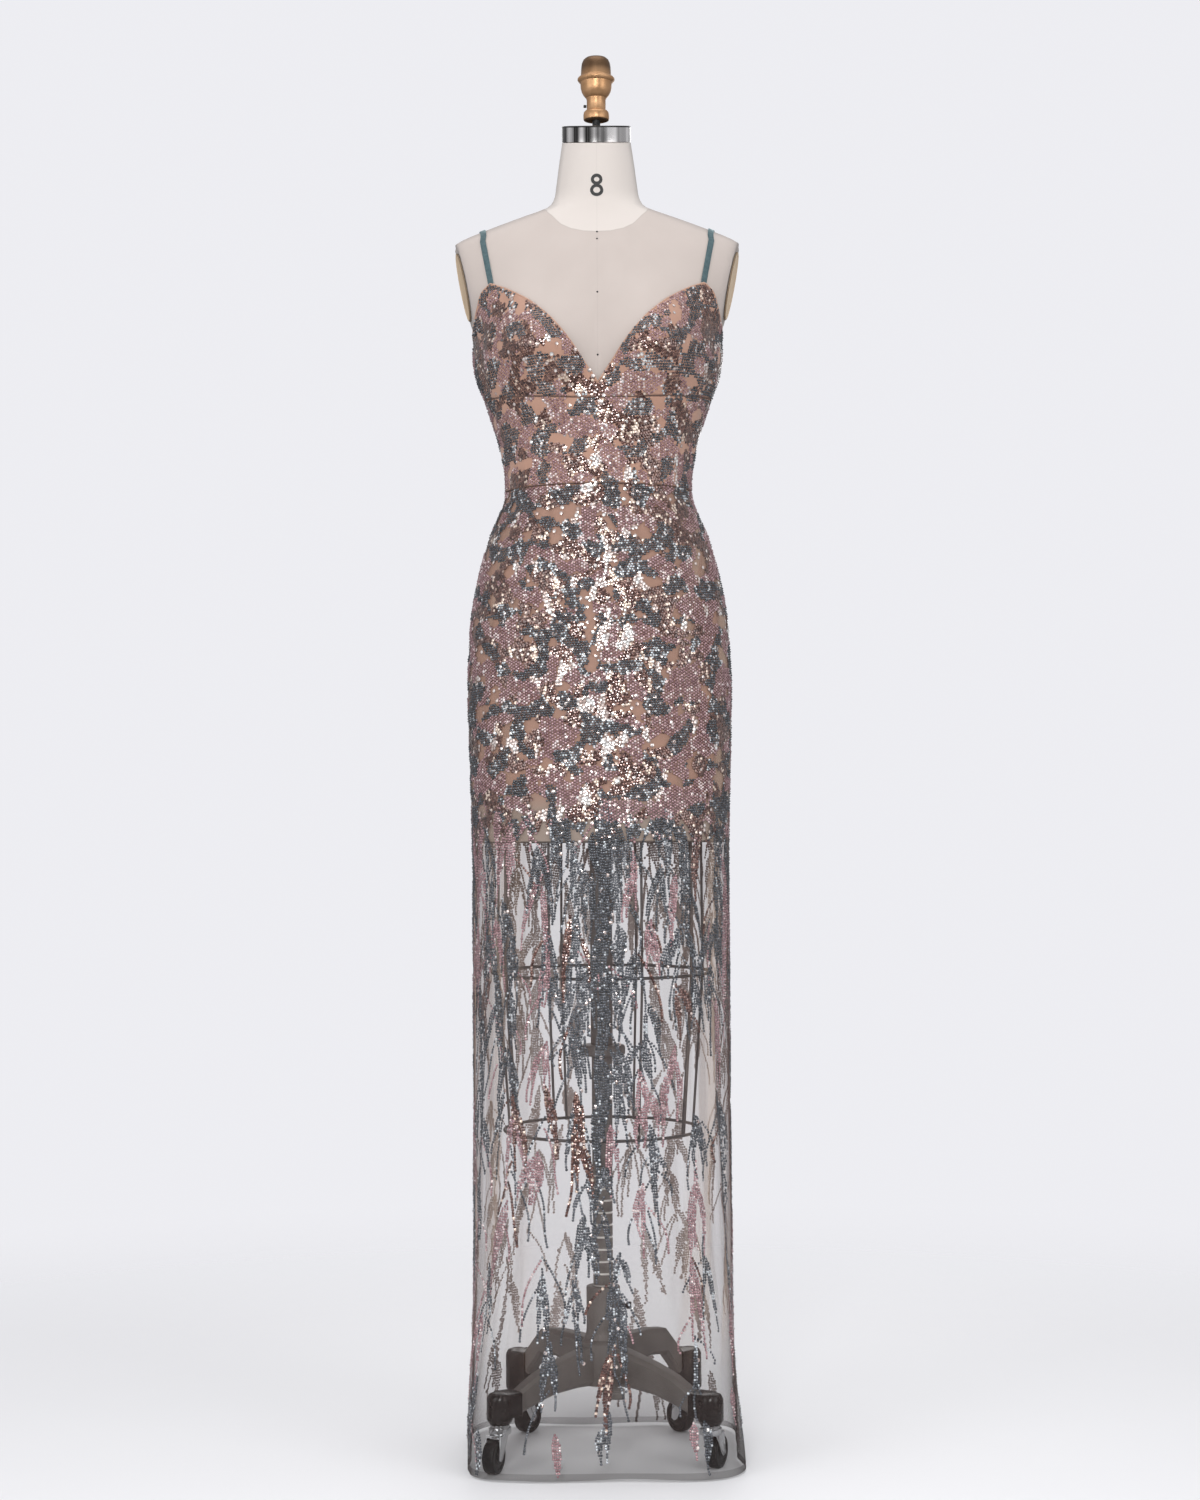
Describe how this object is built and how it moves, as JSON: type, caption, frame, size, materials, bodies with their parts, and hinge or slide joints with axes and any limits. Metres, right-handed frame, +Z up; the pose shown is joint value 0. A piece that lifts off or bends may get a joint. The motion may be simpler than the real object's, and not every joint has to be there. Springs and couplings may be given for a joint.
{
  "type": "evening gown on a dress form stand",
  "caption": "Fitted V-neck evening gown in sequinned sheer net over a nude slip lining, worn by a limbless dress form on a castered pole stand.",
  "frame": {"origin": "on the floor, on the axis of the pole, under the middle of the overall box", "axes": "+Z up, -Y towards the front of the gown, +X to the right as seen from the front"},
  "size_m": [0.3802, 0.3229, 1.8584],
  "materials": {
    "beaded_cloth": "sequins and beads on net mounted on nude cloth",
    "beaded_net": "sequins and beads on sheer grey net",
    "nude_lining": "smooth matt lining",
    "velvet": "velvet ribbon",
    "linen": "plain linen",
    "tan_plate": "smooth tan",
    "steel": "brushed",
    "dark_steel": "darkened",
    "brass": "aged satin",
    "cage_wire": "dark grey paint",
    "painted_iron": "dark grey paint",
    "cast_iron": "dark grey, slightly rough",
    "black_plastic": "gloss",
    "chrome": "polished",
    "wheel_rubber": "satin"
  },
  "bodies": {
    "stand": {"base_casting": "cast_iron", "base_column": "cast_iron", "column_knob": "dark_steel", "hood_front_left": "black_plastic", "hood_front_right": "black_plastic", "hood_rear_left": "black_plastic", "hood_rear_right": "black_plastic", "fork_front_left": "chrome", "fork_front_right": "chrome", "fork_rear_left": "chrome", "fork_rear_right": "chrome"},
    "wheel_fl": {"wheel_front_left": "wheel_rubber"},
    "wheel_fr": {"wheel_front_right": "wheel_rubber"},
    "wheel_rl": {"wheel_rear_left": "wheel_rubber"},
    "wheel_rr": {"wheel_rear_right": "wheel_rubber"},
    "pedal": {"pedal": "cast_iron"},
    "form": {"pole_post": "dark_steel", "pole_lower": "painted_iron", "pole_collar": "painted_iron", "pole_upper": "painted_iron", "cage_ring_upper": "cage_wire", "cage_ring_lower": "cage_wire", "cage_wire_front_left": "cage_wire", "cage_wire_front_right": "cage_wire", "cage_wire_side_front_left": "cage_wire", "cage_wire_side_front_right": "cage_wire", "cage_wire_side_back_left": "cage_wire", "cage_wire_side_back_right": "cage_wire", "cage_wire_back_left": "cage_wire", "cage_wire_back_right": "cage_wire", "torso": "linen", "arm_plate_left": "tan_plate", "arm_plate_right": "tan_plate", "neck_cap": "steel", "finial_stem": "dark_steel", "finial": "brass", "finial_screw": "dark_steel", "cup_left": "beaded_cloth", "cup_right": "beaded_cloth", "midriff_front": "beaded_cloth", "bodice_back_left": "beaded_cloth", "bodice_back_right": "beaded_cloth", "skirt_front": "beaded_net", "skirt_back_left": "beaded_net", "skirt_back_right": "beaded_net", "lining_front": "nude_lining", "lining_back": "nude_lining", "strap_left": "velvet", "strap_right": "velvet", "zip_tape": "nude_lining", "zip_slider": "steel"},
    "zip_tab": {"zip_pull": "steel"}
  },
  "joints": [
    {"name": "form_height", "type": "slide", "parent": "stand", "child": "form", "axis": [0, 0, 1], "range_m": [0, 0.06]},
    {"name": "wheel_fl_roll", "type": "hinge", "parent": "stand", "child": "wheel_fl", "pos_m": [-0.14089, -0.10808, 0.0215], "axis": [0.9292, -0.3697, 0], "continuous": true},
    {"name": "wheel_fr_roll", "type": "hinge", "parent": "stand", "child": "wheel_fr", "pos_m": [0.14446, -0.08188, 0.0215], "axis": [-0.9062, 0.4229, 0], "continuous": true},
    {"name": "wheel_rl_roll", "type": "hinge", "parent": "stand", "child": "wheel_rl", "pos_m": [-0.104, 0.124, 0.0215], "axis": [-0.8, 0.6, 0], "continuous": true},
    {"name": "wheel_rr_roll", "type": "hinge", "parent": "stand", "child": "wheel_rr", "pos_m": [0.104, 0.124, 0.0215], "axis": [-0.8, -0.6, 0], "continuous": true},
    {"name": "pedal_pivot", "type": "hinge", "parent": "stand", "child": "pedal", "pos_m": [0.0125, -0.036, 0.1015], "axis": [1, 0, 0], "range_deg": [0, 12]},
    {"name": "zip_pull_swing", "type": "hinge", "parent": "form", "child": "zip_tab", "pos_m": [0, 0.11605, 1.44212], "axis": [1, 0, 0], "range_deg": [0, 120]}
  ]
}
